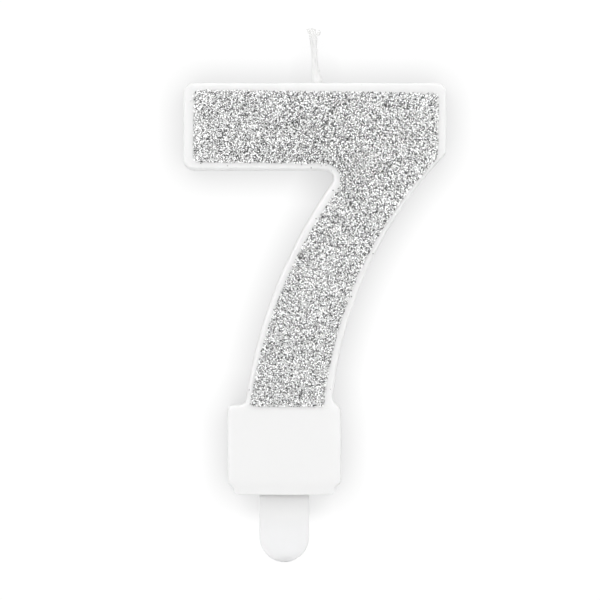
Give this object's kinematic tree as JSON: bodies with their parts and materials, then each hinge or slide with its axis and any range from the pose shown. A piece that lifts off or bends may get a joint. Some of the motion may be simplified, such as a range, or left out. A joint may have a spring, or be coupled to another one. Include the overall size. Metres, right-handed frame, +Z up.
{
  "type": "number candle",
  "caption": "Moulded wax birthday candle shaped as the figure seven, with a silver glitter front, a block base, a wick and a flat plastic cake pick that pushes into the base.",
  "frame": {"origin": "centre of the base's underside, which rests on the icing; the pick's axis passes through it", "axes": "+Z up along the pick, +Y towards the plain back, so the glitter faces -Y and the bar runs along X"},
  "size_m": [0.0448, 0.0094, 0.0909],
  "materials": {
    "white_wax": "smooth satin paraffin wax, slightly translucent",
    "clear_lacquer": "clear glossy adhesive film",
    "silver_glitter": "aluminised polyester flakes, mirror bright, lying at random angles",
    "cotton_braid": "tight bleached cotton braid with a frayed end",
    "wick_wax": "thin wax coat, satin",
    "frosted_plastic": "translucent frosted polypropylene with polished edges"
  },
  "bodies": {
    "cake_pick": {"cake_pick": "frosted_plastic"},
    "candle": {"wax_body": "white_wax", "glitter_lacquer": "clear_lacquer", "glitter_flakes": "silver_glitter", "wick_braid": "cotton_braid", "wick_coat": "wick_wax"}
  },
  "joints": [
    {"name": "pick_slide", "type": "slide", "parent": "cake_pick", "child": "candle", "axis": [0, 0, 1], "range_m": [0, 0.0135]}
  ]
}
